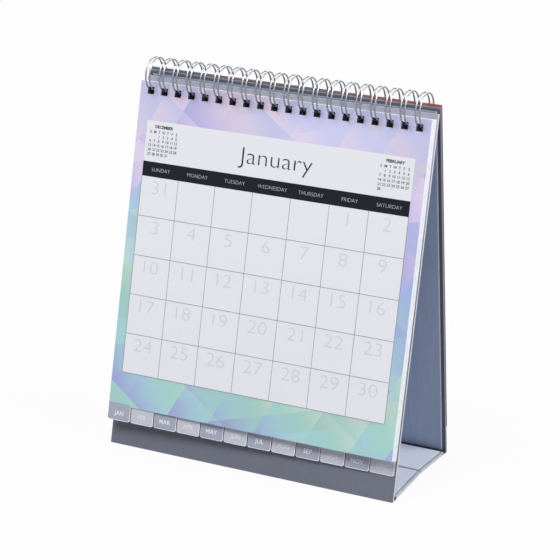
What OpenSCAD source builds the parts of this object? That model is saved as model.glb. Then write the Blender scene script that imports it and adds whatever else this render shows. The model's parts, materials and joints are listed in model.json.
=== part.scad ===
// Tent desk calendar: a folding easel of four case-made boards, twelve tabbed
// month leaves and a turned-back cover leaf, all bound by one twin-loop wire.
// Millimetres, +Z up, X to the right, the pages face -Y.

/* [Easel] */
// Width of the easel boards
stand_w = 174.2; // [140:0.1:220]
// Depth of the easel on the table, over both feet
stand_depth = 73.6; // [60:0.1:100]
// Lean of the front board from upright
front_lean = 13.86; // [10:0.01:18]
// Length of the front board along its slope
front_len = 207.7; // [180:0.1:240]
// Height that the back board's top stands above the front board's top corner
back_rise = 3.2; // [1:0.1:6]
// Thickness of a finished board
board_t = 2.0; // [1.6:0.1:3]
// Thickness of the cover paper outside
cover_t = 0.3; // [0.2:0.05:0.5]
// Thickness of the liner paper inside
liner_t = 0.2; // [0.1:0.05:0.4]
// Bare margin of turned-in cover paper round each liner
liner_inset = 2.0; // [1:0.1:5]
// Width of the cover paper turned in under the liner
turn_in = 12; // [6:0.5:20]
// Gap left between the two boards where they meet at the top
apex_gap = 0.3; // [0.2:0.05:1]

/* [Base] */
// Width of the bare paper crease between an upright board and the base
crease_w = 2.4; // [2.3:0.1:4]
// Height of the crease in the middle of the base
crease_rise = 1.8; // [1:0.1:4]
// Clearance at the middle crease and at the rear pivot
base_gap = 0.3; // [0.2:0.05:0.6]
// Bare margin of the base liners at the creases
crease_inset = 0.6; // [0.5:0.1:3]

/* [Binding wire] */
// Pitch of the loops
loop_pitch = 8.467; // [7:0.001:9]
// Radius of the loops to the middle of the wire
loop_r = 9.2; // [8.6:0.1:10.5]
// Wire diameter
wire_d = 0.9; // [0.7:0.05:1.1]
// Spacing of the two wires of one loop
twin_gap = 2.4; // [2.2:0.1:2.7]
// Height of the loop centre above the front board's top edge, along its slope
loop_rise = 1.25; // [0.5:0.05:2]
// Distance of the loop centre in front of the front board's face
loop_front = 1.8; // [1.2:0.1:2.4]
// Bend radius where a loop turns into its connecting bar
bar_bend = 0.65; // [0.6:0.05:0.8]
// Straight lead of the wire out of a loop before that bend
bar_lead = 0.2; // [0.1:0.05:0.4]

/* [Leaves] */
// Width that a leaf is narrower than the easel
leaf_less = 0.2; // [0:0.1:10]
// Length of a month sheet without its tab
sheet_len = 181.8; // [150:0.1:195]
// Height of an index tab below its sheet
tab_h = 8.7; // [6:0.1:12]
// Width of the gap between neighbouring tabs
tab_gap = 0.4; // [0.2:0.1:2]
// Corner radius of the tabs
tab_r = 1.2; // [0.5:0.1:3]
// Thickness of one leaf
leaf_t = 0.3; // [0.2:0.05:0.35]
// Distance from one leaf to the next
leaf_step = 0.42; // [0.4:0.01:0.5]
// Distance of the leaf edge below the loop centre, along the slope
leaf_drop = 4.27; // [4:0.01:5]
// Width of a square binding hole
hole_w = 4.0; // [3.8:0.1:4.4]
// Least distance from a leaf's side to the middle of its end hole
hole_edge = 4.0; // [3.5:0.1:8]
// Sideways spread of the pad, from the first leaf to the last
pad_spread = 0.5; // [0:0.05:0.6]
// Distance that the pad sits to the left of the easel's middle
pad_shift = 0.7; // [0:0.05:2]

/* [Cover leaf] */
// Length of the cover leaf
cover_leaf_len = 190; // [150:1:196]
// Gap between the back board and the cover leaf
cover_leaf_gap = 0.5; // [0.4:0.05:1]
// Height of the cover leaf's edge above the loop centre, along the back board
cover_leaf_rise = 1.6; // [1:0.1:3]

/* [Hidden] */
$fn = 48;
MONTHS = ["jan", "feb", "mar", "apr", "may", "jun", "jul", "aug", "sep", "oct", "nov", "dec"];

// Overrun of a cutting solid past the faces that it cuts
over = 1;
// Depths into a board, from its outer face: core, turned-in paper, liner
core_y = board_t - liner_t - cover_t;
lip_y = board_t - liner_t;
month_n = len(MONTHS);

// Leaves are a little narrower than the easel, and as many loops as fit are bound
leaf_w = stand_w - leaf_less;
loop_n = floor((leaf_w - 2 * hole_edge) / loop_pitch) + 1;

// Loop centre and front board's inner top corner, in the plane across the easel
front_foot_y = -stand_depth / 2;
back_foot_y = stand_depth / 2;
loop_u = front_len + loop_rise;
loop_y = front_foot_y + loop_u * sin(front_lean) - loop_front * cos(front_lean);
loop_z = loop_u * cos(front_lean) + loop_front * sin(front_lean);
corner_y = front_foot_y + front_len * sin(front_lean) + board_t * cos(front_lean);
corner_z = front_len * cos(front_lean) - board_t * sin(front_lean);

// The back board leans until its inner face clears that corner by apex_gap
corner_run = back_foot_y - corner_y;
corner_far = norm([corner_run, corner_z]);
back_lean = acos((board_t + apex_gap) / corner_far) - atan2(corner_z, corner_run);
back_len = (corner_z + back_rise) / cos(back_lean);

// Loop centre seen from the back board: along it, and in from its outer face
loop_w = (back_foot_y - loop_y) * sin(back_lean) + loop_z * cos(back_lean);
loop_in = (back_foot_y - loop_y) * cos(back_lean) - loop_z * sin(back_lean);

// Distance below the loop centre at which a loop crosses a plane this far from it
function crossing(away) = sqrt(loop_r * loop_r - away * away);
front_hole_u = loop_u - crossing(loop_front + board_t / 2);
back_hole_w = loop_w - crossing(loop_in - board_t / 2);
cover_leaf_out = loop_in + cover_leaf_gap;
cover_leaf_hole_w = loop_w - crossing(cover_leaf_out + leaf_t / 2);

// Pad: the leaves lie on the front board, the first month outermost
leaf_top = loop_u - leaf_drop;
pad_t = month_n * leaf_step;
function leaf_n(k) = pad_t - (k + 1) * leaf_step + (leaf_step - leaf_t);
function leaf_x(k) = (k / (month_n - 1) - 1 / 2) * pad_spread;
leaf_hole_u = loop_u - crossing(pad_t / 2 - loop_front);
tab_pitch = leaf_w / month_n;

// Base: two equal halves from crease to crease, the middle one raised. A half
// stands clear of its pivot, and half as far from the middle.
base_half = stand_depth / 2 - board_t / cos(front_lean) - crease_w;
base_tilt = atan2(crease_rise, base_half);
base_len = norm([base_half, crease_rise]);
half_len = base_len - base_gap - base_gap / 2;

// Angles on the loop, from straight down towards the back, of its two wire ends
bar_angle = asin((loop_front + board_t) / loop_r) - front_lean;
tip_angle = asin((loop_in - board_t) / loop_r) + back_lean;

// The box round the whole calendar is centred over the origin
pad_front_y = front_foot_y + (leaf_top - sheet_len - tab_h) * sin(front_lean)
    - (leaf_n(0) + leaf_t) * cos(front_lean);
stand_x = max(0, pad_shift + (leaf_w + pad_spread - stand_w) / 2) / 2;
stand_y = -(min(front_foot_y, pad_front_y) + back_foot_y) / 2;
pad_x = stand_x - pad_shift;
function hole_x(i) = pad_x + (i - (loop_n - 1) / 2) * loop_pitch;

// Joint axes, as y and z, to read beside the model
echo(loop_axis = [loop_y + stand_y, loop_z]);
echo(foot_pivot = [-base_half + stand_y, cover_t], crease_pivot = [stand_y, crease_rise]);
echo(back_lean = back_lean, back_len = back_len, bar_angle = bar_angle, tip_angle = tip_angle);

COVER = "#666975";
LINER = "#8f9bb3";
GREYBOARD = "#8c8781";
PAPER = "#eeeff4";
WIRE = "#d4d7dc";
COVER_LEAF = "#8f8ea0";

// Frame of the front board: z up its outer face, y into the board
module on_front() {
    translate([0, front_foot_y + stand_y, 0]) rotate([-front_lean, 0, 0]) children();
}

// Frame of the back board: z up its outer face, y out of its back
module on_back() {
    translate([0, back_foot_y + stand_y, 0]) rotate([back_lean, 0, 0]) children();
}

// Frame of a base half: y from its foot crease to the middle, z up through it
module on_base(side) {
    translate([stand_x, stand_y, 0]) mirror([0, side, 0])
        translate([0, -base_half, 0]) rotate([base_tilt, 0, 0]) children();
}

// Frame of the loops: z along the row, x straight down, y to the back
module on_loops() {
    translate([0, loop_y + stand_y, loop_z]) rotate([0, 90, 0]) children();
}

// Row of square punches through a sheet whose face is the XZ plane
module punches(height, depth) {
    for (i = [0 : loop_n - 1])
        translate([hole_x(i) - hole_w / 2, -depth, height - hole_w / 2]) cube([hole_w, 2 * depth, hole_w]);
}

// Everything below the table, or below a board's foot paper
module below(level) {
    span = stand_w + stand_depth;
    translate([-span, -span, level - span]) cube([2 * span, 2 * span, span]);
}

// A slab of a board: in from its sides and its ends, from depth y0 to depth y1
module slab(long, side, end, y0, y1) {
    translate([stand_x - stand_w / 2 + side, y0, end]) cube([stand_w - 2 * side, y1 - y0, long - 2 * end]);
}

// Greyboard core, cover paper and liner of one case-made board, outer face at y = 0
module core_slab(long) {
    slab(long, cover_t, cover_t, cover_t, core_y);
}
module cover_tray(long) {
    difference() {
        slab(long, 0, 0, 0, lip_y);
        core_slab(long);
        cover_window(long);
    }
}
module cover_window(long) {
    slab(long, turn_in, turn_in, core_y - liner_t, lip_y + over);
}
module liner_sheet(long, end) {
    slab(long, turn_in, turn_in, core_y, lip_y);
    slab(long, liner_inset, end, lip_y, board_t);
}

// Paper case of an upright board, with its foot level and its crease on the table
module upright_case(lean, long) {
    toe = stand_depth / 2 - base_half;
    outer_top = [long * sin(lean), long * cos(lean)];
    inner_top = outer_top + lip_y * [cos(lean), -sin(lean)];
    heel_y = lip_y / cos(lean) + cover_t * tan(lean);
    translate([stand_x - stand_w / 2, 0, 0]) rotate([90, 0, 90]) linear_extrude(stand_w)
        polygon([[0, 0], [toe, 0], [toe, cover_t], [heel_y, cover_t], inner_top, outer_top]);
}

// Upright boards, with their feet cut level and the binding holes punched
module front_core_solid() {
    difference() {
        on_front() difference() {
            core_slab(front_len);
            punches(front_hole_u, board_t + over);
        }
        below(cover_t);
    }
}
module back_core_solid() {
    difference() {
        on_back() mirror([0, 1, 0]) difference() {
            core_slab(back_len);
            punches(back_hole_w, board_t + over);
        }
        below(cover_t);
    }
}
module front_board() {
    color(GREYBOARD) front_core_solid();
}
module back_board() {
    color(GREYBOARD) back_core_solid();
}
module front_cover_paper() {
    color(COVER) difference() {
        translate([0, front_foot_y + stand_y, 0]) upright_case(front_lean, front_len);
        front_core_solid();
        on_front() {
            cover_window(front_len);
            punches(front_hole_u, board_t + over);
        }
    }
}
module back_cover_paper() {
    color(COVER) difference() {
        translate([0, back_foot_y + stand_y, 0]) mirror([0, 1, 0]) upright_case(back_lean, back_len);
        back_core_solid();
        on_back() mirror([0, 1, 0]) {
            cover_window(back_len);
            punches(back_hole_w, board_t + over);
        }
    }
}
module front_liner() {
    color(LINER) on_front() difference() {
        liner_sheet(front_len, liner_inset);
        punches(front_hole_u, board_t + over);
    }
}
module back_liner() {
    color(LINER) on_back() mirror([0, 1, 0]) difference() {
        liner_sheet(back_len, liner_inset);
        punches(back_hole_w, board_t + over);
    }
}

// Base halves: a board laid down, its cover paper to the table
module laid_board(side) {
    on_base(side) translate([-stand_x, base_gap, 0]) mirror([0, 1, 0]) rotate([90, 0, 0]) children();
}
module base_front_board() {
    color(GREYBOARD) laid_board(0) core_slab(half_len);
}
module base_front_cover_paper() {
    color(COVER) laid_board(0) cover_tray(half_len);
}
module base_front_liner() {
    color(LINER) laid_board(0) liner_sheet(half_len, crease_inset);
}
module base_back_board() {
    color(GREYBOARD) laid_board(1) core_slab(half_len);
}
module base_back_cover_paper() {
    color(COVER) laid_board(1) cover_tray(half_len);
}
module base_back_liner() {
    color(LINER) laid_board(1) liner_sheet(half_len, crease_inset);
}

// Bent length of wire: a circle of wire swept round an arc of the given radius
module bend(radius, from, sweep) {
    rotate([0, 0, from]) rotate_extrude(angle = sweep) translate([radius, 0]) circle(d = wire_d);
}

// Frame on the loop at an angle: x outwards, y onwards round the loop, z along the row
module on_loop_end(angle) {
    rotate([0, 0, angle]) translate([loop_r, 0, 0]) rotate([0, 90, 0]) children();
}

// One twin loop: two arcs joined by the hairpin at their tip
module twin_loop() {
    for (side = [-1, 1])
        translate([0, 0, side * twin_gap / 2]) bend(loop_r, tip_angle, 360 + bar_angle - tip_angle);
    on_loop_end(tip_angle) bend(twin_gap / 2, 180, 180);
}

// Connecting bar from one loop to the next, led straight out of each loop and bent over
module loop_bar() {
    bar_len = loop_pitch - twin_gap - 2 * bar_bend;
    near = -twin_gap / 2;
    far = -loop_pitch + twin_gap / 2;
    on_loop_end(bar_angle) {
        for (x = [near, far]) translate([x, 0, 0]) rotate([-90, 0, 0]) cylinder(d = wire_d, h = bar_lead);
        translate([0, bar_lead, 0]) {
            translate([near - bar_bend, 0, 0]) bend(bar_bend, 0, 90);
            translate([far + bar_bend, 0, 0]) bend(bar_bend, 90, 90);
            translate([near - bar_bend, bar_bend, 0]) rotate([0, -90, 0]) cylinder(d = wire_d, h = bar_len);
        }
    }
}
module twin_loop_wire() {
    color(WIRE) on_loops() {
        for (i = [0 : loop_n - 1]) translate([0, 0, hole_x(i)]) twin_loop();
        for (i = [0 : loop_n - 2]) translate([0, 0, hole_x(i)]) loop_bar();
    }
}

// Outline of a sheet, seen from the front, with its binding holes
module punched_sheet(middle, wide, top, long, hole_height) {
    difference() {
        translate([middle - wide / 2, top - long]) square([wide, long]);
        for (i = [0 : loop_n - 1]) translate([hole_x(i), hole_height]) square(hole_w, center = true);
    }
}

// Index tab of a month, hanging from the lower edge of its sheet
module tab_outline(k) {
    tab_w = tab_pitch - tab_gap;
    translate([pad_x - leaf_w / 2 + k * tab_pitch, leaf_top - sheet_len - tab_h]) {
        translate([0, tab_r]) square([tab_w, tab_h - tab_r + over]);
        translate([tab_r, 0]) square([tab_w - 2 * tab_r, tab_h]);
        for (x = [tab_r, tab_w - tab_r]) translate([x, tab_r]) circle(tab_r);
    }
}
module leaf(k) {
    color(PAPER) on_front() translate([leaf_x(k), -leaf_n(k), 0]) rotate([90, 0, 0]) linear_extrude(leaf_t) {
        punched_sheet(pad_x, leaf_w, leaf_top, sheet_len, leaf_hole_u);
        tab_outline(k);
    }
}
module cover_leaf() {
    color(COVER_LEAF) on_back() translate([0, cover_leaf_gap + leaf_t, 0]) rotate([90, 0, 0])
        linear_extrude(leaf_t)
            punched_sheet(stand_x, stand_w, loop_w + cover_leaf_rise, cover_leaf_len, cover_leaf_hole_w);
}

front_board();
front_cover_paper();
front_liner();
back_board();
back_cover_paper();
back_liner();
base_front_board();
base_front_cover_paper();
base_front_liner();
base_back_board();
base_back_cover_paper();
base_back_liner();
twin_loop_wire();
for (k = [0 : month_n - 1]) leaf(k);
cover_leaf();
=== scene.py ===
"""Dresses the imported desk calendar: printed month leaves, papered easel boards and a lacquered binding wire.

Lengths inside the classes are millimetres, as on a printer's layout sheet. MM turns them into the
frame's metres. The lamps and the camera are placed in metres.
"""

from __future__ import annotations

import calendar
import json
import logging
import math
from dataclasses import dataclass, field, replace
from enum import Enum
from functools import cached_property

import bmesh
import bpy
import numpy as np
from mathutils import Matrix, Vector

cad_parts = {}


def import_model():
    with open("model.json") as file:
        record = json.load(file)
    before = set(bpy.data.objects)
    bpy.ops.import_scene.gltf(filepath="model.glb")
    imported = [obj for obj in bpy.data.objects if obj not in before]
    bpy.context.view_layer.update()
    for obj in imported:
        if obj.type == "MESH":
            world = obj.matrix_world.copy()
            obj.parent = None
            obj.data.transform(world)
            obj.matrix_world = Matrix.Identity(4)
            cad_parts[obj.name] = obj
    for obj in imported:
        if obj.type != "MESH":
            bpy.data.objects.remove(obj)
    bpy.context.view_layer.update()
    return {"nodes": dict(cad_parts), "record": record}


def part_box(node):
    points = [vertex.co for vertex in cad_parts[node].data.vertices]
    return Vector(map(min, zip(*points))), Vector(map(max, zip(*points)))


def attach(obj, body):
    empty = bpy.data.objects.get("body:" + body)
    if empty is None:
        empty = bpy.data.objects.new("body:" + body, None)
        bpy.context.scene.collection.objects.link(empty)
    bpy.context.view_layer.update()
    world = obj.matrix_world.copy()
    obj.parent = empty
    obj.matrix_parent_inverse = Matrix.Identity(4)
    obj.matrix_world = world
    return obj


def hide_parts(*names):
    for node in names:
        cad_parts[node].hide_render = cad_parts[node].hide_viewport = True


MM = 0.001
LOG = logging.getLogger("desk_calendar")

Colour = tuple[float, float, float]
Ramp = tuple[tuple[float, Colour], ...]
Face = tuple[int, ...]
Socket = bpy.types.NodeSocket

WHITE: Colour = (1.0, 1.0, 1.0)

# Rough directions in which the printed or papered faces of the two sides look
FRONTWARD = Vector((0.0, -1.0, 0.2))
BACKWARD = Vector((0.0, 1.0, 0.1))


def srgb(red: int, green: int, blue: int) -> Colour:
    """Linear colour of a printed tint given as 0 to 255 screen values.

    Args:
        red: Red value.
        green: Green value.
        blue: Blue value.

    Returns:
        The three linear values, by the usual screen curve.
    """
    values = np.array([red, green, blue]) / 255.0
    linear = np.where(values <= 0.04045, values / 12.92, ((values + 0.055) / 1.055) ** 2.4)
    return tuple(float(v) for v in linear)


def shaded(colour: Colour, share: float) -> Colour:
    """A colour darkened to a share of itself."""
    return tuple(value * share for value in colour)


class Month(Enum):
    """The twelve leaves, in binding order."""

    JAN = 1
    FEB = 2
    MAR = 3
    APR = 4
    MAY = 5
    JUN = 6
    JUL = 7
    AUG = 8
    SEP = 9
    OCT = 10
    NOV = 11
    DEC = 12

    @property
    def node(self) -> str:
        """Name of the month's leaf in the frame."""
        return "leaf_" + self.name.lower()

    @property
    def title(self) -> str:
        """Full name of the month."""
        return calendar.month_name[self.value]


class Ink(Enum):
    """The printed layers of a leaf, in the order of their material slots."""

    PANEL = 0
    BAND = 1
    RULE = 2
    TEXT = 3
    NUMERAL = 4
    LABEL = 5
    TAB = 6
    WEEKDAY = 7


@dataclass
class NodeGraph:
    """Thin helper round the node tree of a material or a world, which it empties first."""

    owner: bpy.types.Material | bpy.types.World

    # Where Blender's mix node keeps the sockets of a colour mix
    MIX_INPUTS = (0, 6, 7)
    MIX_RESULT = 2
    # The range in which most of a noise lies
    NOISE_SPREAD = (0.3, 0.7)

    def __post_init__(self) -> None:
        """Empties the tree."""
        self.owner.use_nodes = True
        self.owner.node_tree.nodes.clear()

    @cached_property
    def place(self) -> Socket:
        """Where on its piece the shaded point lies, in metres."""
        return self.add("TexCoord").outputs["Object"]

    @cached_property
    def normal(self) -> Socket:
        """Direction in which the shaded point's face looks."""
        return self.add("TexCoord").outputs["Normal"]

    def add(self, kind: str, **settings: object) -> bpy.types.Node:
        """Adds a node and sets its plain properties.

        Args:
            kind: Blender's node type, without the ShaderNode prefix.
            settings: Properties of the node.

        Returns:
            The new node.
        """
        node = self.owner.node_tree.nodes.new("ShaderNode" + kind)
        for key, value in settings.items():
            setattr(node, key, value)
        return node

    def put(self, value: object, target: Socket) -> None:
        """Links an input to another node's socket, or sets it to a plain value.

        Args:
            value: A socket, number, triple or colour.
            target: The input.
        """
        if isinstance(value, Socket):
            self.owner.node_tree.links.new(value, target)
        elif target.type == "RGBA":
            target.default_value = (*value, 1.0)
        else:
            target.default_value = value

    def feed(self, node: bpy.types.Node, **values: object) -> bpy.types.Node:
        """Fills some of a node's inputs by name.

        Args:
            node: The node to feed.
            values: Values or sockets, by the input's name with _ for spaces.

        Returns:
            The same node.
        """
        for key, value in values.items():
            self.put(value, node.inputs[key.replace("_", " ")])
        return node

    def operate(self, kind: str, operation: str, operands: tuple[object, ...]) -> bpy.types.Node:
        """Adds a node that works on its first inputs.

        Args:
            kind: Math or VectorMath.
            operation: Blender's name of the operation.
            operands: Values or sockets, in order.

        Returns:
            The new node.
        """
        node = self.add(kind, operation=operation)
        for value, target in zip(operands, node.inputs):
            self.put(value, target)
        return node

    def math(self, operation: str, *operands: object) -> Socket:
        """Result of an operation on numbers or their sockets."""
        return self.operate("Math", operation, operands).outputs[0]

    def vector(self, operation: str, *operands: object) -> bpy.types.Node:
        """Node of an operation on triples or their sockets."""
        return self.operate("VectorMath", operation, operands)

    def dot(self, vector: Socket, direction: np.ndarray) -> Socket:
        """Length of a vector along a direction."""
        return self.vector("DOT_PRODUCT", vector, tuple(direction)).outputs["Value"]

    def scaled(self, colour: object, factor: Socket) -> Socket:
        """Product of a colour, or a colour's socket, and a number's socket."""
        return self.feed(self.vector("SCALE", colour), Scale=factor).outputs[0]

    def split(self, vector: Socket) -> list[Socket]:
        """The x, y and z of a vector."""
        return list(self.feed(self.add("SeparateXYZ"), Vector=vector).outputs)

    def mix(self, factor: object, first: object, second: object) -> Socket:
        """Adds a mix of two colours.

        Args:
            factor: Share of the second colour, as a socket or number.
            first: A colour or a socket.
            second: A colour or a socket.

        Returns:
            The mixed colour's socket.
        """
        node = self.add("Mix", data_type="RGBA")
        for index, value in zip(self.MIX_INPUTS, (factor, first, second)):
            self.put(value, node.inputs[index])
        return node.outputs[self.MIX_RESULT]

    def noise(self, place: Socket, scale: float, detail: float, roughness: float = 0.5) -> Socket:
        """Strength of a cloudy noise.

        Args:
            place: Coordinates on the piece.
            scale: Clouds to the metre.
            detail: Octaves of finer clouds.
            roughness: Strength of the finer clouds.

        Returns:
            The strength's socket.
        """
        node = self.add("TexNoise")
        return self.feed(node, Vector=place, Scale=scale, Detail=detail, Roughness=roughness).outputs[0]

    def ranged(self, value: Socket, old: tuple[float, float], new: tuple[float, float]) -> Socket:
        """Carries a value from one range to another, and holds it there.

        Args:
            value: The value's socket.
            old: Ends of its range.
            new: Ends of the range that it gets.

        Returns:
            The carried value's socket.
        """
        node = self.feed(self.add("MapRange"), Value=value, From_Min=old[0], From_Max=old[1])
        return self.feed(node, To_Min=new[0], To_Max=new[1]).outputs[0]

    def swing(self, noise: Socket, amount: float) -> Socket:
        """Turns a noise into a factor that swings about one by some amount."""
        return self.ranged(noise, self.NOISE_SPREAD, (1.0 - amount, 1.0 + amount))

    def seen(self) -> Socket:
        """One for the rays of the camera and of mirrored views, and nought for the rays of light."""
        rays = self.add("LightPath").outputs
        return self.math("MAXIMUM", rays["Is Camera Ray"], rays["Is Glossy Ray"])

    def blend(self, share: Socket, first: bpy.types.Node, second: bpy.types.Node) -> bpy.types.Node:
        """Mixes two shaders.

        Args:
            share: Share of the second shader.
            first: A shader's node.
            second: A shader's node.

        Returns:
            The mixed shader's node.
        """
        node = self.add("MixShader")
        for value, target in zip((share, first.outputs[0], second.outputs[0]), node.inputs):
            self.put(value, target)
        return node

    def finish(self, shader: bpy.types.Node) -> bpy.types.Material | bpy.types.World:
        """Joins a shader to the tree's output.

        Args:
            shader: The last shader's node.

        Returns:
            The material or world.
        """
        kind = "OutputWorld" if isinstance(self.owner, bpy.types.World) else "OutputMaterial"
        self.put(shader.outputs[0], self.add(kind).inputs[0])
        return self.owner


@dataclass(frozen=True)
class PaperFinish:
    """Matte paper: a tint with fibre mottling, a fine tooth and an even sheen, with painted shade inside
    punched holes.
    """

    name: str
    tint: Colour
    roughness: float = 0.62
    mottle: float = 0.06
    cloud_scale: float = 24.0
    fibre_scale: float = 900.0
    speck_share: float = 0.6
    tooth: float = 0.04
    tooth_depth: float = 0.4
    specular: float = 0.3
    plane: SheetPlane | None = None
    hole_strip: tuple[float, float] = (3.0, 11.2)
    hole_shade: float = 0.03

    def tooth_bump(self, graph: NodeGraph) -> Socket:
        """Fine bump of the paper's fibres.

        Args:
            graph: The material's graph.

        Returns:
            The bumped normal.
        """
        fibre = graph.noise(graph.place, self.fibre_scale, detail=6.0, roughness=0.65)
        bump = graph.feed(graph.add("Bump"), Strength=self.tooth, Height=fibre)
        return graph.feed(bump, Distance=self.tooth_depth * MM).outputs[0]

    def tinted(self, graph: NodeGraph, base: object) -> Socket:
        """Mottles a base colour by large and small clouds of fibre.

        Args:
            graph: The material's graph.
            base: A colour or a colour socket.

        Returns:
            The mottled colour.
        """
        cloud = graph.noise(graph.place, self.cloud_scale, detail=5.0, roughness=0.6)
        speck = graph.noise(graph.place, self.fibre_scale * self.speck_share, detail=3.0)
        both = graph.math("MULTIPLY", graph.math("ADD", cloud, speck), 0.5)
        return graph.scaled(base, graph.swing(both, self.mottle))

    def papered(self, graph: NodeGraph, base: object) -> bpy.types.Material:
        """Ends a material with the paper's mottling, tooth and sheen.

        Args:
            graph: The material's graph.
            base: A colour or a colour socket.

        Returns:
            The material.
        """
        shader = graph.add("BsdfPrincipled")
        graph.feed(shader, Base_Color=self.tinted(graph, base), Roughness=self.roughness)
        graph.feed(shader, Normal=self.tooth_bump(graph), Specular_IOR_Level=self.specular)
        return graph.finish(shader)

    def base_colour(self, graph: NodeGraph) -> object:
        """Colour before the mottling, which a finish of several tints can take from the place."""
        return self.tint

    def material(self) -> bpy.types.Material:
        """Builds the finish.

        Returns:
            The material.
        """
        graph = NodeGraph(bpy.data.materials.new(self.name))
        base = self.base_colour(graph)
        # Painted shade on the walls of the punched holes
        if self.plane is not None:
            walls = self.plane.hole_walls(graph, self.hole_strip)
            base = graph.mix(walls, base, shaded(self.tint, self.hole_shade))
        return self.papered(graph, base)


@dataclass(frozen=True)
class CasePaperFinish(PaperFinish):
    """Cover paper of a board, lighter towards its top, with a patchy painted highlight on its side faces and
    its up-facing fold faces.
    """

    top_tint: Colour = srgb(108, 111, 124)
    top_from: float = 0.0
    top_to: float = 1.0
    # Tint of the painted highlight on side and fold faces
    highlight_tint: Colour = srgb(205, 206, 214)
    side_highlight: float = 0.0
    fold_highlight: float = 0.0
    # Scale and least strength of the noise that makes the painted highlight patchy
    highlight_patch_scale: float = 90.0
    highlight_patch_least: float = 0.5
    side_facing: float = 0.9
    up_facing: float = 0.5

    def base_colour(self, graph: NodeGraph) -> Socket:
        """Mixes the height's tint with the painted highlight's tint, on faces that look sideways or up.

        Args:
            graph: The material's graph.

        Returns:
            The colour's socket.
        """
        height = graph.split(graph.place)[2]
        level = graph.ranged(height, (self.top_from, self.top_to), (0.0, 1.0))
        normal = graph.split(graph.normal)
        # Painted highlight: faces that look sideways or up are lightened towards the highlight's tint, in
        # noisy patches
        side = graph.math("GREATER_THAN", graph.math("ABSOLUTE", normal[0]), self.side_facing)
        above = graph.math("GREATER_THAN", normal[2], self.up_facing)
        side_lit = graph.math("MULTIPLY", side, self.side_highlight)
        highlight_share = graph.math("MULTIPLY_ADD", above, self.fold_highlight, side_lit)
        highlight_patches = graph.noise(graph.place, self.highlight_patch_scale, detail=4.0)
        highlight_mix = graph.math("MULTIPLY", highlight_share, graph.math("ADD", highlight_patches, self.highlight_patch_least))
        return graph.mix(highlight_mix, graph.mix(level, self.tint, self.top_tint), self.highlight_tint)


@dataclass(frozen=True)
class LinerFinish(PaperFinish):
    """Liner paper with a faint upright grain and a painted highlight along its two side edges."""

    half_width: float = math.inf
    rim: float = 0.6
    rim_highlight_tint: Colour = srgb(222, 229, 240)
    grain: float = 0.06
    grain_scale: float = 260.0
    grain_stretch: tuple[float, float, float] = (1.0, 1.0, 0.03)

    def base_colour(self, graph: NodeGraph) -> Socket:
        """Streaks the tint and mixes it with the painted highlight's tint at the rim.

        Args:
            graph: The material's graph.

        Returns:
            The colour's socket.
        """
        stretched = graph.vector("MULTIPLY", graph.place, self.grain_stretch).outputs[0]
        streaks = graph.noise(stretched, self.grain_scale, detail=4.0)
        streaked = graph.scaled(self.tint, graph.swing(streaks, self.grain))
        # Painted highlight: a pale rim along the liner's two side edges
        reach = graph.math("ABSOLUTE", graph.split(graph.place)[0])
        on_highlight_rim = graph.math("GREATER_THAN", reach, (self.half_width - self.rim) * MM)
        return graph.mix(on_highlight_rim, streaked, self.rim_highlight_tint)


@dataclass(frozen=True)
class InkFinish:
    """Flat ink that takes a little of the paper's tooth."""

    name: str
    tint: Colour
    roughness: float = 0.55

    def material(self) -> bpy.types.Material:
        """Builds the finish."""
        paper = PaperFinish(self.name, self.tint, self.roughness, mottle=0.012, tooth=0.012, specular=0.1)
        return paper.material()


@dataclass(frozen=True)
class WireFinish:
    """Silver lacquered steel wire with faint draw marks."""

    name: str = "silver_wire"
    tint: Colour = srgb(147, 150, 156)
    roughness: tuple[float, float] = (0.2, 0.37)
    mark_scale: float = 700.0

    def material(self) -> bpy.types.Material:
        """Builds the finish.

        Returns:
            The material.
        """
        graph = NodeGraph(bpy.data.materials.new(self.name))
        marks = graph.noise(graph.place, self.mark_scale, detail=3.0)
        rough = graph.ranged(marks, (0.0, 1.0), self.roughness)
        shader = graph.add("BsdfPrincipled")
        return graph.finish(graph.feed(shader, Base_Color=self.tint, Metallic=1.0, Roughness=rough))


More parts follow.
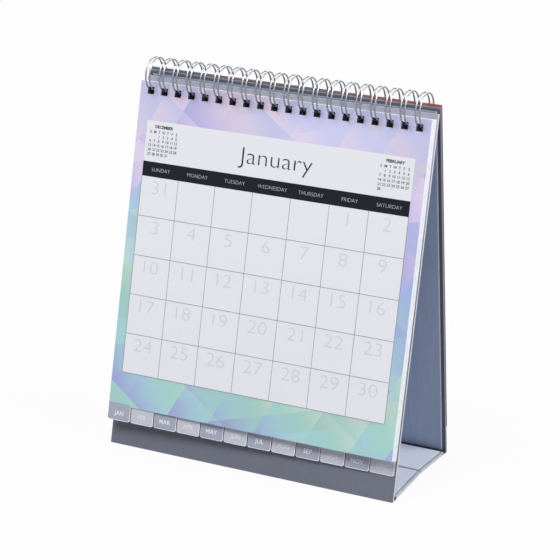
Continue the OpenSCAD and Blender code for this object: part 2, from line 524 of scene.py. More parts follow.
@dataclass
class SheetPlane:
    """Printed face of a flat sheet: places are x from its left edge and d down from its top edge."""

    origin: np.ndarray
    across: np.ndarray
    down: np.ndarray
    out: np.ndarray
    wide: float
    tall: float

    # How far the holes keep from the side edges, and how squarely a face looks out of the sheet
    HOLE_MARGIN = 1.0
    FACING = 0.5

    @classmethod
    def of_node(cls, node: bpy.types.Object, outward: Vector) -> SheetPlane:
        """Measures the plane of a sheet from its own mesh.

        The slope is the longest direction of the points across the easel, and the face is the
        outermost layer of points.

        Args:
            node: The sheet's object.
            outward: Rough direction in which the printed face looks.

        Returns:
            The plane of the printed face.
        """
        points = np.empty(len(node.data.vertices) * 3)
        node.data.vertices.foreach_get("co", points)
        points = points.reshape(-1, 3)
        section = points[:, 1:] - points[:, 1:].mean(axis=0)
        slope = np.linalg.svd(section, full_matrices=False)[2][0]
        slope = slope * np.sign(slope[1])
        up = np.array([0.0, slope[0], slope[1]])
        out = np.array([0.0, -slope[1], slope[0]])
        out = out * np.sign(out @ np.array(outward))
        across = np.cross(up, out)
        reach, height = points @ across, points @ up
        origin = across * reach.min() + up * height.max() + out * (points @ out).max()
        return cls(origin, across, -up, out, np.ptp(reach) / MM, np.ptp(height) / MM)

    def place(self, flat: np.ndarray, lift: float) -> np.ndarray:
        """Carries flat points onto the sheet.

        Args:
            flat: Rows of x and d in millimetres.
            lift: Height above the face in millimetres.

        Returns:
            Rows of x, y, z in metres.
        """
        on_sheet = np.outer(flat[:, 0], self.across) + np.outer(flat[:, 1], self.down)
        return self.origin + MM * (on_sheet + lift * self.out)

    def places(self, graph: NodeGraph) -> tuple[Socket, Socket]:
        """Place on the sheet in millimetres.

        Args:
            graph: The material's graph.

        Returns:
            Sockets of x and d.
        """
        offset = graph.vector("SUBTRACT", graph.place, tuple(self.origin)).outputs[0]
        across, down = graph.dot(offset, self.across), graph.dot(offset, self.down)
        return graph.math("DIVIDE", across, MM), graph.math("DIVIDE", down, MM)

    def hole_walls(self, graph: NodeGraph, strip: tuple[float, float]) -> Socket:
        """One on the walls of the punched holes, where painted shade goes: faces square to the sheet, clear of
        its own edges.

        Args:
            graph: The material's graph.
            strip: Where the row of holes begins and ends, down from the top edge.

        Returns:
            The mask's socket.
        """
        across, down = self.places(graph)
        right = self.wide - self.HOLE_MARGIN
        facing = graph.math("ABSOLUTE", graph.dot(graph.normal, self.out))
        walls = graph.math("LESS_THAN", facing, self.FACING)
        limits = ((across, self.HOLE_MARGIN), (right, across), (down, strip[0]), (strip[1], down))
        for larger, smaller in limits:
            walls = graph.math("MULTIPLY", walls, graph.math("GREATER_THAN", larger, smaller))
        return walls


@dataclass(frozen=True)
class Ribbons:
    """One family of parallel ribbons across a sheet, each with its own random tint."""

    slant: float
    width: float
    push: float
    fade: float


@dataclass(frozen=True)
class WashFinish:
    """Card printed with overlapping ribbons of wash, bare on its cut edges, with painted shade inside its
    holes.
    """

    name: str
    paper: PaperFinish
    plane: SheetPlane
    ramp: Ramp
    seed: float
    run: tuple[float, float] = (0.12, 0.88)
    both_faces: bool = False
    families: tuple[Ribbons, ...] = (
        Ribbons(28.0, 26.0, 0.28, 0.1),
        Ribbons(-56.0, 34.0, 0.24, 0.12),
        Ribbons(74.0, 15.0, 0.1, 0.05),
    )
    family_step: float = 5.3
    light_least: float = 0.95
    light_spread: float = 0.09
    printed_to: float = math.inf
    hole_strip: tuple[float, float] = (2.0, 14.0)
    hole_shade: float = 0.012

    def ribbon(
        self, graph: NodeGraph, across: Socket, down: Socket, family: Ribbons, seed: float
    ) -> tuple[Socket, Socket]:
        """Random tint and random lightness of the ribbon at a place.

        A ribbon is a cell of a one-dimensional Voronoi pattern, measured square to its slant. Its
        tint fades from one side of the ribbon to the other.

        Args:
            graph: The material's graph.
            across: Socket of x.
            down: Socket of d.
            family: The family of ribbons.
            seed: Offset that picks other ribbons.

        Returns:
            Sockets of the push along the colour ramp and of the lightness.
        """
        turn = math.radians(family.slant)
        along = graph.math("MULTIPLY", across, math.cos(turn) / family.width)
        rise = graph.math("MULTIPLY", down, math.sin(turn) / family.width)
        reach = graph.math("ADD", graph.math("ADD", along, rise), seed)
        cells = graph.add("TexVoronoi", voronoi_dimensions="1D", feature="F1")
        graph.feed(cells, W=reach, Scale=1.0, Randomness=1.0)
        draws = graph.feed(graph.add("SeparateColor"), Color=cells.outputs["Color"]).outputs
        slope = graph.math("SUBTRACT", reach, cells.outputs["W"])
        push = graph.math("MULTIPLY", graph.math("SUBTRACT", draws[0], 0.5), family.push)
        return graph.math("ADD", push, graph.math("MULTIPLY", slope, family.fade)), draws[1]

    def artwork(self, graph: NodeGraph, across: Socket, down: Socket) -> Socket:
        """Colour of the washes: a ramp over the sheet, pushed to and fro by each ribbon that lies there.

        Args:
            graph: The material's graph.
            across: Socket of x.
            down: Socket of d.

        Returns:
            The printed colour.
        """
        sideways = graph.math("MULTIPLY", across, self.run[0] / self.plane.wide)
        above_foot = graph.math("SUBTRACT", self.plane.tall, down)
        upward = graph.math("MULTIPLY", above_foot, self.run[1] / self.plane.tall)
        level = graph.math("ADD", sideways, upward)
        light = 1.0
        for index, family in enumerate(self.families):
            push, tone = self.ribbon(graph, across, down, family, self.seed + self.family_step * index)
            level = graph.math("ADD", level, push)
            tone = graph.math("ADD", self.light_least, graph.math("MULTIPLY", tone, self.light_spread))
            light = graph.math("MULTIPLY", light, tone)
        ramp = graph.add("ValToRGB")
        ramp.color_ramp.interpolation = "B_SPLINE"
        while len(ramp.color_ramp.elements) < len(self.ramp):
            ramp.color_ramp.elements.new(0.5)
        for element, (position, colour) in zip(ramp.color_ramp.elements, self.ramp):
            element.position = position
            element.color = (*colour, 1.0)
        graph.put(level, ramp.inputs[0])
        return graph.scaled(ramp.outputs[0], light)

    def material(self) -> bpy.types.Material:
        """Builds the finish.

        Returns:
            The material.
        """
        graph = NodeGraph(bpy.data.materials.new(self.name))
        across, down = self.plane.places(graph)
        facing = graph.dot(graph.normal, self.plane.out)
        printed = graph.math("ABSOLUTE", facing) if self.both_faces else facing
        on_face = graph.math("GREATER_THAN", printed, self.plane.FACING)
        if math.isfinite(self.printed_to):
            on_face = graph.math("MULTIPLY", on_face, graph.math("LESS_THAN", down, self.printed_to))
        colour = graph.mix(on_face, self.paper.tint, self.artwork(graph, across, down))
        # Painted shade on the walls of the punched holes
        in_hole = self.plane.hole_walls(graph, self.hole_strip)
        colour = graph.mix(in_hole, colour, shaded(self.paper.tint, self.hole_shade))
        return self.paper.papered(graph, colour)


@dataclass
class Lettering:
    """Plain sans lettering as flat outlines, one millimetre tall for each unit of size."""

    weight: float = 0.0
    stretch: float = 1.0
    smoothness: int = 4
    cache: dict[str, tuple[np.ndarray, list[Face]]] = field(default_factory=dict)

    # Height of a capital at Blender's text size of one
    CAPITAL = 0.729

    def outline(self, words: str) -> tuple[np.ndarray, list[Face]]:
        """Flat faces of some words, centred, with a capital's height of one.

        Args:
            words: The words to set.

        Returns:
            Points as rows of x and d (down), and the faces that join them.
        """
        if words not in self.cache:
            curve = bpy.data.curves.new("lettering", "FONT")
            curve.body = words
            curve.offset = self.weight
            curve.resolution_u = self.smoothness
            holder = bpy.data.objects.new("lettering", curve)
            bpy.context.scene.collection.objects.link(holder)
            bpy.context.view_layer.update()
            drawn = holder.evaluated_get(bpy.context.evaluated_depsgraph_get())
            mesh = bpy.data.meshes.new_from_object(drawn)
            points = np.empty(len(mesh.vertices) * 3)
            mesh.vertices.foreach_get("co", points)
            flat = points.reshape(-1, 3)[:, :2] / self.CAPITAL
            faces = [tuple(p.vertices) for p in mesh.polygons]
            middle = (flat[:, 0].min() + flat[:, 0].max()) / 2 if len(flat) else 0.0
            flat = np.column_stack([(flat[:, 0] - middle) * self.stretch, -flat[:, 1]])
            bpy.data.objects.remove(holder)
            bpy.data.curves.remove(curve)
            bpy.data.meshes.remove(mesh)
            self.cache[words] = (flat, faces)
        return self.cache[words]


@dataclass(frozen=True)
class TypeCase:
    """The four cuts of lettering on a leaf."""

    light: Lettering = field(default_factory=lambda: Lettering(weight=-0.015, stretch=1.16, smoothness=5))
    fine: Lettering = field(default_factory=lambda: Lettering(weight=-0.02))
    plain: Lettering = field(default_factory=lambda: Lettering(weight=0.014, smoothness=3))
    bold: Lettering = field(default_factory=lambda: Lettering(weight=0.034, smoothness=3))


@dataclass
class PrintJob:
    """Collects flat shapes on one sheet, each in an ink and a layer, and makes them one mesh."""

    name: str
    plane: SheetPlane
    layer: float = 0.03
    points: list[np.ndarray] = field(default_factory=list)
    faces: list[Face] = field(default_factory=list)
    inks: list[int] = field(default_factory=list)
    count: int = 0

    def shape(self, flat: np.ndarray, faces: list[Face], ink: Ink, layer: int) -> None:
        """Adds a shape.

        Args:
            flat: Rows of x and d in millimetres.
            faces: Faces over those rows.
            ink: The ink that the shape is printed in.
            layer: Which layer of ink it lies in, from 1.
        """
        self.points.append(self.plane.place(flat, layer * self.layer))
        self.faces.extend(tuple(i + self.count for i in face) for face in faces)
        self.inks.extend([ink.value] * len(faces))
        self.count += len(flat)

    def block(self, left: float, top: float, right: float, bottom: float, ink: Ink, layer: int) -> None:
        """Adds a filled rectangle."""
        flat = np.array([[left, top], [left, bottom], [right, bottom], [right, top]])
        self.shape(flat, [(0, 1, 2, 3)], ink, layer)

    def words(
        self, text: str, style: Lettering, middle: float, base: float, size: float, ink: Ink, layer: int
    ) -> None:
        """Sets words centred on a point of their base line.

        Args:
            text: The words.
            style: Their lettering.
            middle: Place of their middle, from the left edge.
            base: Place of their base line, down from the top edge.
            size: Height of a capital.
            ink: Their ink.
            layer: Their layer.
        """
        flat, faces = style.outline(text)
        if len(faces):
            self.shape(flat * size + np.array([middle, base]), faces, ink, layer)

    def mesh_object(self, materials: list[bpy.types.Material]) -> bpy.types.Object:
        """Makes the print one object.

        Args:
            materials: A material for each ink.

        Returns:
            The print's object.
        """
        mesh = bpy.data.meshes.new(self.name)
        mesh.from_pydata(np.concatenate(self.points), [], self.faces)
        for material in materials:
            mesh.materials.append(material)
        mesh.polygons.foreach_set("material_index", np.array(self.inks, dtype=np.int32))
        return linked(self.name, mesh)


@dataclass
class PageLayout:
    """The printer's layout of a month leaf, in millimetres from its top left corner."""

    panel_left: float = 6.3
    panel_right: float = 167.2
    panel_top: float = 21.2
    panel_bottom: float = 162.6
    band_top: float = 43.68
    band_bottom: float = 51.95
    rule: float = 0.26
    title_base: float = 37.0
    title_size: float = 9.4
    weekday_size: float = 2.15
    numeral_size: float = 7.7
    numeral_drop: float = 9.4
    mini_size: float = 1.52
    mini_head: float = 1.66
    mini_head_rows: float = 1.2
    mini_pitch: float = 2.68
    mini_row: float = 2.45
    mini_top: float = 25.0
    mini_left: float = 9.2
    mini_right: float = 148.3
    sheet_bottom: float = 181.8
    tab_height: float = 8.7
    tab_rise: float = 1.2
    tab_label: float = 2.5
    tab_radius: float = 1.1
    tab_gap: float = 0.4
    tab_inset: float = 0.1
    tab_rim: float = 0.32
    corner_steps: int = 7
    columns: int = 7
    rows: int = 5

    @property
    def column(self) -> float:
        """Width of a day's column."""
        return (self.panel_right - self.panel_left) / self.columns

    @property
    def row(self) -> float:
        """Height of a week's row."""
        return (self.panel_bottom - self.band_bottom) / self.rows


class PrintedLeaf:
    """One month leaf: the panel, dates and tab that are printed over the washes on its card."""

    # First weekday of the year, counted from Sunday, and the days of each month
    YEAR_START = 5
    DAYS = (31, 28, 31, 30, 31, 30, 31, 31, 30, 31, 30, 31)
    WEEKDAYS = ("SUNDAY", "MONDAY", "TUESDAY", "WEDNESDAY", "THURSDAY", "FRIDAY", "SATURDAY")

    def __init__(self, month: Month, leaf: bpy.types.Object, layout: PageLayout) -> None:
        """Measures the leaf.

        Args:
            month: Which month.
            leaf: The leaf's object in the frame.
            layout: The printer's layout.
        """
        self.month = month
        self.layout = layout
        self.plane = SheetPlane.of_node(leaf, FRONTWARD)
        self.job = PrintJob("print_" + month.name.lower(), self.plane)

    @classmethod
    def first_column(cls, index: int) -> int:
        """Column of a month's first day.

        Args:
            index: The month, counted from 0, or -1 for the last month of the year before.

        Returns:
            The column, counted from 0.
        """
        days_before = -cls.DAYS[-1] if index < 0 else sum(cls.DAYS[:index])
        return (cls.YEAR_START + days_before) % len(cls.WEEKDAYS)

    def print_panel(self) -> None:
        """Prints the pale panel, the weekday band and the ruled grid."""
        p = self.layout
        self.job.block(p.panel_left, p.panel_top, p.panel_right, p.panel_bottom, Ink.PANEL, 1)
        self.job.block(p.panel_left, p.band_top, p.panel_right, p.band_bottom, Ink.BAND, 2)
        half = p.rule / 2
        for k in range(p.columns + 1):
            x = p.panel_left + k * p.column
            self.job.block(x - half, p.band_bottom, x + half, p.panel_bottom, Ink.RULE, 2)
        for k in range(1, p.rows + 1):
            d = p.band_bottom + k * p.row
            self.job.block(p.panel_left, d - half, p.panel_right, d + half, Ink.RULE, 3)

    def print_words(self, cuts: TypeCase) -> None:
        """Prints the month's title, the weekdays and the dates.

        A month's days past the last row go on in the first one.

        Args:
            cuts: The cuts of lettering.
        """
        p = self.layout
        middle = (p.panel_left + p.panel_right) / 2
        self.job.words(self.month.title, cuts.light, middle, p.title_base, p.title_size, Ink.TEXT, 2)
        band_base = (p.band_top + p.band_bottom + p.weekday_size) / 2
        for k, name in enumerate(self.WEEKDAYS):
            x = p.panel_left + (k + 0.5) * p.column
            self.job.words(name, cuts.fine, x, band_base, p.weekday_size, Ink.WEEKDAY, 3)
        first = self.first_column(self.month.value - 1)
        for day in range(1, self.DAYS[self.month.value - 1] + 1):
            cell = first + day - 1
            week = (cell // p.columns) % p.rows
            x = p.panel_left + (cell % p.columns + 0.5) * p.column
            d = p.band_bottom + week * p.row + p.numeral_drop
            self.job.words(str(day), cuts.light, x, d, p.numeral_size, Ink.NUMERAL, 2)

    def print_small_month(self, index: int, left: float, cuts: TypeCase) -> None:
        """Prints the small table of a neighbouring month.

        Args:
            index: The month, counted from 0, or -1 for the last month of the year before.
            left: Middle of its first column, from the leaf's left edge.
            cuts: The cuts of lettering.
        """
        p = self.layout
        month = index % len(Month)
        name = calendar.month_name[month + 1].upper()
        middle = left + p.columns // 2 * p.mini_pitch
        self.job.words(name, cuts.bold, middle, p.mini_top, p.mini_head, Ink.BAND, 2)
        weekday_base = p.mini_top + p.mini_row * p.mini_head_rows
        for k, weekday in enumerate(self.WEEKDAYS):
            x = left + k * p.mini_pitch
            self.job.words(weekday[0], cuts.plain, x, weekday_base, p.mini_size, Ink.BAND, 2)
        first = self.first_column(index)
        for day in range(1, self.DAYS[month] + 1):
            week, column = divmod(first + day - 1, p.columns)
            x = left + column * p.mini_pitch
            d = weekday_base + p.mini_row * (week + 1)
            self.job.words(str(day), cuts.plain, x, d, p.mini_size, Ink.BAND, 2)

    def print_tab(self, cut: Lettering) -> None:
        """Prints the tint and the label of the month's tab.

        The tint is a rectangle whose two lower corners are quarter circles. It leaves a pale rim to its
        right and below.

        Args:
            cut: The label's lettering.
        """
        p = self.layout
        pitch = self.plane.wide / len(Month)
        left = (self.month.value - 1) * pitch + p.tab_inset
        right = left + pitch - p.tab_gap - p.tab_inset - p.tab_rim
        top = p.sheet_bottom - p.tab_rise
        bottom = p.sheet_bottom + p.tab_height - p.tab_rim
        turn = np.linspace(0.0, math.pi / 2, p.corner_steps)
        r = p.tab_radius
        low_left = np.column_stack([left + r - r * np.cos(turn), bottom - r + r * np.sin(turn)])
        low_right = np.column_stack([right - r + r * np.sin(turn), bottom - r + r * np.cos(turn)])
        flat = np.concatenate([[[left, top]], low_left, low_right, [[right, top]]])
        self.job.shape(flat, [tuple(range(len(flat)))], Ink.TAB, 1)
        base = p.sheet_bottom + (p.tab_height + p.tab_label) / 2
        self.job.words(self.month.name, cut, (left + right) / 2, base, p.tab_label, Ink.LABEL, 2)

    def build(self, cuts: TypeCase, inks: list[bpy.types.Material]) -> bpy.types.Object:
        """Prints the leaf.

        Args:
            cuts: The cuts of lettering.
            inks: A material for each ink.

        Returns:
            The print's object, riding on its leaf.
        """
        self.print_panel()
        self.print_words(cuts)
        self.print_small_month(self.month.value - 2, self.layout.mini_left, cuts)
        self.print_small_month(self.month.value % len(Month), self.layout.mini_right, cuts)
        self.print_tab(cuts.plain)
        piece = self.job.mesh_object(inks)
        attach(piece, self.month.node)
        return piece


@dataclass
class LeafPad:
    """The twelve printed leaves and the cover leaf."""

    nodes: dict[str, bpy.types.Object]
    layout: PageLayout = field(default_factory=PageLayout)
    card: PaperFinish = PaperFinish("leaf_card", srgb(240, 240, 243), 0.58, mottle=0.01, tooth=0.015)
    seed_step: float = 2.7
    pastels: Ramp = (
        (0.0, srgb(156, 160, 208)),
        (0.08, srgb(164, 194, 216)),
        (0.16, srgb(164, 206, 206)),
        (0.25, srgb(158, 204, 194)),
        (0.34, srgb(200, 217, 205)),
        (0.44, srgb(168, 203, 216)),
        (0.57, srgb(160, 182, 222)),
        (0.69, srgb(172, 170, 218)),
        (0.8, srgb(204, 192, 226)),
        (0.9, srgb(222, 206, 222)),
        (1.0, srgb(190, 194, 230)),
    )
    # Tint and label of the odd and the even months' tabs
    dark_tab: tuple[Colour, Colour] = (srgb(163, 166, 183), srgb(231, 232, 238))
    pale_tab: tuple[Colour, Colour] = (srgb(193, 194, 206), srgb(221, 222, 230))
    cover_seed: float = 41.0
    cover_run: tuple[float, float] = (0.94, 0.06)
    cover_tints: Ramp = (
        (0.0, srgb(202, 120, 118)),
        (0.15, srgb(197, 128, 126)),
        (0.28, srgb(168, 146, 148)),
        (0.45, srgb(146, 148, 160)),
        (0.6, srgb(168, 136, 132)),
        (0.75, srgb(158, 140, 140)),
        (0.9, srgb(140, 144, 158)),
        (1.0, srgb(130, 136, 154)),
    )
    cover_stock: Colour = srgb(98, 98, 110)
    cover_ribbons: tuple[Ribbons, ...] = (
        Ribbons(34.0, 30.0, 0.26, 0.05),
        Ribbons(-48.0, 38.0, 0.22, 0.06),
        Ribbons(80.0, 22.0, 0.1, 0.03),
    )

    def inks(self, tab: Colour, label: Colour) -> list[bpy.types.Material]:
        """Materials of the inks, in the order of Ink.

        Args:
            tab: Tint of the tab.
            label: Ink of the tab's label.

        Returns:
            A material for each ink.
        """
        tints = {
            Ink.PANEL: srgb(225, 226, 231),
            Ink.BAND: srgb(28, 28, 36),
            Ink.RULE: srgb(128, 128, 138),
            Ink.TEXT: srgb(52, 52, 60),
            Ink.NUMERAL: srgb(208, 209, 216),
            Ink.LABEL: label,
            Ink.TAB: tab,
            Ink.WEEKDAY: srgb(196, 197, 205),
        }
        return [InkFinish("ink_" + ink.name.lower(), tints[ink]).material() for ink in Ink]

    def build(self) -> None:
        """Dresses every leaf and prints it."""
        cuts = TypeCase()
        dark_tab, pale_tab = self.inks(*self.dark_tab), self.inks(*self.pale_tab)
        for month in Month:
            node = self.nodes[month.node]
            leaf = PrintedLeaf(month, node, self.layout)
            finish = WashFinish(
                "wash_" + month.name.lower(),
                self.card,
                leaf.plane,
                self.pastels,
                self.seed_step * month.value,
                printed_to=self.layout.sheet_bottom,
            )
            dress(node, finish.material())
            piece = leaf.build(cuts, dark_tab if month.value % 2 else pale_tab)
            LOG.info("%s: %d faces", piece.name, len(piece.data.polygons))
        self.build_cover()

    def build_cover(self) -> None:
        """Dresses the cover leaf, which shows its printed face to the back."""
        node = self.nodes["cover_leaf"]
        finish = WashFinish(
            "wash_cover",
            replace(self.card, tint=self.cover_stock),
            SheetPlane.of_node(node, BACKWARD),
            self.cover_tints,
            self.cover_seed,
            self.cover_run,
            both_faces=True,
            families=self.cover_ribbons,
        )
        dress(node, finish.material())
        LOG.info("cover_leaf dressed")


def linked(name: str, mesh: bpy.types.Mesh) -> bpy.types.Object:
    """Puts a mesh into the scene as an object.

    Args:
        name: The object's name.
        mesh: Its mesh.

    Returns:
        The object.
    """
    piece = bpy.data.objects.new(name, mesh)
    bpy.context.scene.collection.objects.link(piece)
    return piece


def dress(piece: bpy.types.Object, material: bpy.types.Material) -> None:
    """Gives a piece one material in place of what it has."""
    piece.data.materials.clear()
    piece.data.materials.append(material)


@dataclass
class BindingWire:
    """The twin-loop wire: one path of arcs, hairpins and bars, with a round section carried along it."""

    node: bpy.types.Object
    axis: Vector
    wire: float = 0.9
    twin_gap: float = 2.4
    loops: int = 20
    root_angle: float = 10.54
    tip_angle: float = 27.71
    lead: float = 0.2
    bend: float = 0.65
    arc_steps: int = 72
    pin_steps: int = 9
    corner_steps: int = 7
    sides: int = 12

    def measure(self) -> tuple[float, np.ndarray]:
        """Measures the loops by the node's box.

        Returns:
            Radius of the loops and the places of their middles, in millimetres.
        """
        low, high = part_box(self.node.name)
        edge = (self.twin_gap + self.wire) / 2
        radius = (high.z - self.axis.z) / MM - self.wire / 2
        return radius, np.linspace(low.x / MM + edge, high.x / MM - edge, self.loops)

    def loop_path(self, pitch: float) -> np.ndarray:
        """One loop and the bar to the next, as rows of x, angle and onward offset.

        The arcs run at a steady x from the root to the tip and back. The hairpin is a half circle and
        the bar's bends are quarter circles in the plane that touches the loop there.

        Args:
            pitch: Distance to the next loop.

        Returns:
            Rows of x in millimetres, angle in radians and offset along the tangent in millimetres.
        """
        half = self.twin_gap / 2
        root, tip = np.radians([self.root_angle, self.tip_angle - 360.0])
        angle = np.linspace(root, tip, self.arc_steps)
        flat = np.zeros_like(angle)
        out = np.column_stack([flat - half, angle, flat])
        turn = np.linspace(0.0, math.pi, self.pin_steps + 2)[1:-1]
        pin = np.column_stack([-half * np.cos(turn), np.full_like(turn, tip), -half * np.sin(turn)])
        home = np.column_stack([flat + half, angle[::-1], flat])
        corner = np.linspace(0.0, math.pi / 2, self.corner_steps)
        near_x = half + self.bend * (1 - np.cos(corner))
        near_t = self.lead + self.bend * np.sin(corner)
        near = np.column_stack([near_x, np.full_like(corner, root), near_t])
        far = near[::-1] * np.array([-1.0, 1.0, 1.0]) + np.array([pitch, 0.0, 0.0])
        return np.concatenate([out, pin, home, near, far])

    def whole_path(self) -> tuple[np.ndarray, np.ndarray]:
        """Strings the loops together. The last loop has no bar after it.

        Returns:
            The path's points in millimetres, and the loop's outward direction at each.
        """
        radius, middles = self.measure()
        one = self.loop_path(middles[1] - middles[0])
        rows = np.tile(one, (self.loops, 1))
        rows[:, 0] += np.repeat(middles, len(one))
        rows = rows[: -2 * self.corner_steps]
        sin, cos = np.sin(rows[:, 1]), np.cos(rows[:, 1])
        outward = np.column_stack([np.zeros_like(sin), sin, -cos])
        onward = np.column_stack([np.zeros_like(sin), cos, sin])
        centre = np.array([0.0, self.axis.y, self.axis.z]) / MM
        path = centre + radius * outward + onward * rows[:, 2:3]
        path[:, 0] += rows[:, 0]
        return path, outward

    def build(self, finish: WireFinish) -> bpy.types.Object:
        """Sweeps the wire's section, a circle, along the whole path.

        The loop's own outward direction is square to the wire everywhere, so it carries the section.

        Args:
            finish: The wire's finish.

        Returns:
            The wire's object, in place of the node.
        """
        path, outward = self.whole_path()
        along = np.gradient(path, axis=0)
        along /= np.linalg.norm(along, axis=1, keepdims=True)
        across = np.cross(along, outward)
        across /= np.linalg.norm(across, axis=1, keepdims=True)
        turn = np.linspace(0.0, 2 * math.pi, self.sides, endpoint=False)[:, None]
        ring = outward[:, None] * np.cos(turn) + across[:, None] * np.sin(turn)
        points = (path[:, None] + self.wire / 2 * ring).reshape(-1, 3) * MM
        index = np.arange(len(path) * self.sides).reshape(len(path), self.sides)
        turned = np.roll(index, -1, axis=1)
        quads = np.stack([index[:-1], index[1:], turned[1:], turned[:-1]], axis=-1).reshape(-1, 4)
        ends = [tuple(index[0].tolist()), tuple(index[-1][::-1].tolist())]
        mesh = bpy.data.meshes.new("binding_wire")
        mesh.from_pydata(points, [], [tuple(q) for q in quads.tolist()] + ends)
        mesh.polygons.foreach_set("use_smooth", np.ones(len(mesh.polygons), dtype=bool))
        piece = linked("binding_wire", mesh)
        dress(piece, finish.material())
        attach(piece, "easel")
        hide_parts(self.node.name)
        return piece


class Panel(Enum):
    """The easel's four boards, each with the body that it rides on."""

    FRONT = ("front", "easel")
    BACK = ("back", "easel")
    BASE_FRONT = ("base_front", "base_front")
    BASE_BACK = ("base_back", "base_back")

    @property
    def title(self) -> str:
        """The panel's name in the frame, before the name of the piece."""
        return self.value[0]

    @property
    def body(self) -> str:
        """Name of its body."""
        return self.value[1]

    @property
    def outward(self) -> Vector | None:
        """Rough direction in which an upright panel looks, and nothing for the base."""
        return {Panel.FRONT: FRONTWARD, Panel.BACK: BACKWARD}.get(self)


@dataclass
class Easel:
    """The four case-made boards: greyboard, cover paper and liner."""

    nodes: dict[str, bpy.types.Object]
    edge_radius: float = 0.35
    edge_steps: int = 3
    sharp_angle: float = 40.0
    foot_clear: float = 5.0
    weld: float = 0.001
    side_slack: float = 0.01
    lighten_from: float = 0.5
    # Strengths of the painted highlight on the cover papers' side faces and on the base's up-facing fold faces
    side_highlight: float = 0.45
    fold_highlight: float = 0.6
    cover_tint: Colour = srgb(106, 109, 122)
    back_tint: Colour = srgb(97, 98, 110)
    light_top_tint: Colour = srgb(158, 160, 174)
    # Painted light: one liner paper in two copies, darker on the upright panels as in shade, lighter on the
    # base where light falls
    liner: LinerFinish = LinerFinish("liner_paper", srgb(171, 184, 208), 0.6, mottle=0.04, tooth=0.06)
    lit_base_liner: PaperFinish = PaperFinish(
        "base_liner_paper", srgb(215, 220, 235), 0.6, mottle=0.035, tooth=0.05
    )
    board: PaperFinish = PaperFinish(
        "greyboard", srgb(150, 145, 138), 0.8, mottle=0.14, tooth=0.16, fibre_scale=420.0
    )

    def punched_plane(self, panel: Panel, node: str) -> SheetPlane | None:
        """Plane of a piece of an upright panel, for the painted shade in its punched holes, and nothing for
        the base, which has no holes.
        """
        return SheetPlane.of_node(self.nodes[node], panel.outward) if panel.outward else None

    def cover(self, panel: Panel) -> CasePaperFinish:
        """Cover paper of one panel. The front one is lighter towards its top.

        Args:
            panel: The panel.

        Returns:
            The panel's finish.
        """
        name = panel.title + "_cover_paper"
        low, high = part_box(name)
        tint = self.back_tint if panel is Panel.BACK else self.cover_tint
        return CasePaperFinish(
            name,
            tint,
            roughness=0.46,
            mottle=0.06,
            tooth=0.09,
            fibre_scale=700.0,
            top_tint=self.light_top_tint if panel is Panel.FRONT else tint,
            top_from=low.z + self.lighten_from * (high.z - low.z),
            top_to=high.z,
            side_highlight=0.0 if panel is Panel.BACK else self.side_highlight,
            fold_highlight=0.0 if panel.outward else self.fold_highlight,
            plane=self.punched_plane(panel, name),
        )

    def lining(self, panel: Panel) -> PaperFinish:
        """Liner of one panel, whose painted highlight rim follows the width of an upright one.

        Args:
            panel: The panel.

        Returns:
            The panel's finish.
        """
        if panel.outward is None:
            return self.lit_base_liner
        return replace(self.liner, half_width=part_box(panel.title + "_liner")[1].x / MM)

    def round_edges(self, panel: Panel) -> bpy.types.Object:
        """Copies a cover paper, merges its triangles and rounds the outer edges that it is drawn over.

        An outer edge is convex and has both its ends in the panel's side planes, clear of the foot's
        thin crease.

        Args:
            panel: The panel.

        Returns:
            The rounded paper, in place of the node.
        """
        node = self.nodes[panel.title + "_cover_paper"]
        low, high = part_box(node.name)
        middle, half = (low.x + high.x) / 2, (high.x - low.x) / 2
        floor = self.foot_clear * MM if panel.outward else -math.inf
        form = bmesh.new()
        form.from_mesh(node.data)
        bmesh.ops.remove_doubles(form, verts=form.verts, dist=self.weld * MM)
        weight = form.edges.layers.float.new("bevel_weight_edge")
        for edge in form.edges:
            ends = [vertex.co for vertex in edge.verts]
            at_sides = all(abs(abs(end.x - middle) - half) < self.side_slack * MM for end in ends)
            clear = max(end.z for end in ends) > floor
            convex = edge.is_manifold and edge.is_convex
            sharp = convex and edge.calc_face_angle(0.0) > math.radians(self.sharp_angle)
            edge[weight] = 1.0 if at_sides and sharp and clear else 0.0
        mesh = bpy.data.meshes.new(panel.title + "_case")
        form.to_mesh(mesh)
        form.free()
        piece = linked(panel.title + "_case", mesh)
        bevel = piece.modifiers.new("rounded_edges", "BEVEL")
        bevel.limit_method = "WEIGHT"
        bevel.width = self.edge_radius * MM
        bevel.segments = self.edge_steps
        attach(piece, panel.body)
        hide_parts(node.name)
        return piece

    def build(self) -> None:
        """Dresses each board's pieces."""
        for panel in Panel:
            dress(self.round_edges(panel), self.cover(panel).material())
            for finish, kind in ((self.lining(panel), "_liner"), (self.board, "_board")):
                node = panel.title + kind
                finish = replace(finish, name=node, plane=self.punched_plane(panel, node))
                dress(self.nodes[node], finish.material())
            LOG.info("%s board dressed", panel.title)


@dataclass(frozen=True)
class SoftLamp:
    """A square soft lamp: where it hangs and its side in metres, and its power in watts."""

    name: str
    place: tuple[float, float, float]
    size: float
    power: float

    def build(self, target: Vector) -> None:
        """Hangs the lamp.

        Args:
            target: The point that it looks at.
        """
        data = bpy.data.lights.new(self.name, "AREA")
        data.size = self.size
        data.energy = self.power
        lamp = bpy.data.objects.new(self.name, data)
        lamp.location = self.place
        lamp.rotation_euler = (Vector(self.place) - target).to_track_quat("Z", "Y").to_euler()
        bpy.context.scene.collection.objects.link(lamp)


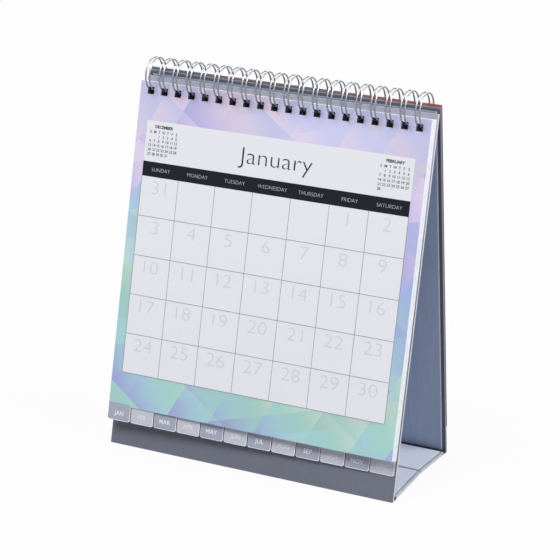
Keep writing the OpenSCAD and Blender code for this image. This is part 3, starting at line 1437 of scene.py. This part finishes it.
@dataclass
class Studio:
    """Pale floor, soft lamps and the camera of the reference view."""

    azimuth: float = 27.01
    elevation: float = 20.12
    distance: float = 1.23244
    target: tuple[float, float, float] = (0.00168, 0.00075, 0.09996)
    focal_pixels: float = 2257.19
    frame_pixels: float = 560.0
    sensor: float = 36.0
    clip_start: float = 0.01
    room_light: float = 0.13
    room_tint: Colour = (0.93, 0.96, 1.0)
    floor_reach: float = 8.0
    floor_drop: float = 0.2
    floor_tint: Colour = (0.42, 0.42, 0.43)
    floor_white: float = 0.95
    lamps: tuple[SoftLamp, ...] = (
        SoftLamp("key_lamp", (-0.65, -1.05, 2.55), 1.3, 78.0),
        SoftLamp("side_lamp", (1.9, 0.25, 1.15), 1.8, 66.0),
        SoftLamp("back_lamp", (-0.7, 1.9, 1.7), 1.8, 34.0),
    )

    def build_camera(self) -> None:
        """Places the camera on a sphere round the target."""
        turn, rise = math.radians(self.azimuth), math.radians(self.elevation)
        flat = math.cos(rise)
        back = Vector((math.sin(turn) * flat, -math.cos(turn) * flat, math.sin(rise)))
        data = bpy.data.cameras.new("camera")
        data.sensor_width = self.sensor
        data.lens = self.focal_pixels / self.frame_pixels * self.sensor
        data.clip_start = self.clip_start
        camera = bpy.data.objects.new("camera", data)
        camera.location = Vector(self.target) + back * self.distance
        camera.rotation_euler = back.to_track_quat("Z", "Y").to_euler()
        bpy.context.scene.collection.objects.link(camera)
        bpy.context.scene.camera = camera

    def build_floor(self) -> None:
        """Lays a wide pale floor that keeps a faint shadow."""
        mesh = bpy.data.meshes.new("floor")
        corners = np.array([[-1.0, -1.0], [1.0, -1.0], [1.0, 1.0], [-1.0, 1.0]]) * self.floor_reach
        level = np.full(len(corners), -self.floor_drop * MM)
        mesh.from_pydata(np.column_stack([corners, level]), [], [(0, 1, 2, 3)])
        floor = linked("floor", mesh)
        graph = NodeGraph(bpy.data.materials.new("pale_floor"))
        matte = graph.feed(graph.add("BsdfDiffuse"), Color=self.floor_tint)
        glow = graph.feed(graph.add("Emission"), Color=WHITE, Strength=1.0)
        share = graph.math("MULTIPLY", graph.seen(), self.floor_white)
        dress(floor, graph.finish(graph.blend(share, matte, glow)))

    def build_world(self) -> None:
        """Fills the room with a cool even light, and shows its walls as white."""
        graph = NodeGraph(bpy.data.worlds.new("studio"))
        room = graph.feed(graph.add("Background"), Color=self.room_tint, Strength=self.room_light)
        walls = graph.feed(graph.add("Background"), Color=WHITE, Strength=1.0)
        bpy.context.scene.world = graph.finish(graph.blend(graph.seen(), room, walls))

    def build(self) -> None:
        """Sets up the whole studio."""
        bpy.context.scene.view_settings.view_transform = "Standard"
        self.build_world()
        self.build_camera()
        self.build_floor()
        for lamp in self.lamps:
            lamp.build(Vector(self.target))


def main() -> None:
    """Loads the frame, dresses the calendar and sets the studio."""
    logging.basicConfig(level=logging.INFO, format="%(name)s: %(message)s")
    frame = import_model()
    nodes = frame["nodes"]
    axis = next(j for j in frame["record"]["behaviour"]["joints"] if j["name"] == "turn_jan")
    Studio().build()
    Easel(nodes).build()
    wire = BindingWire(nodes["twin_loop_wire"], Vector(axis["pos_m"])).build(WireFinish())
    LOG.info("%s: %d faces", wire.name, len(wire.data.polygons))
    LeafPad(nodes).build()


if __name__ == "__main__":
    main()
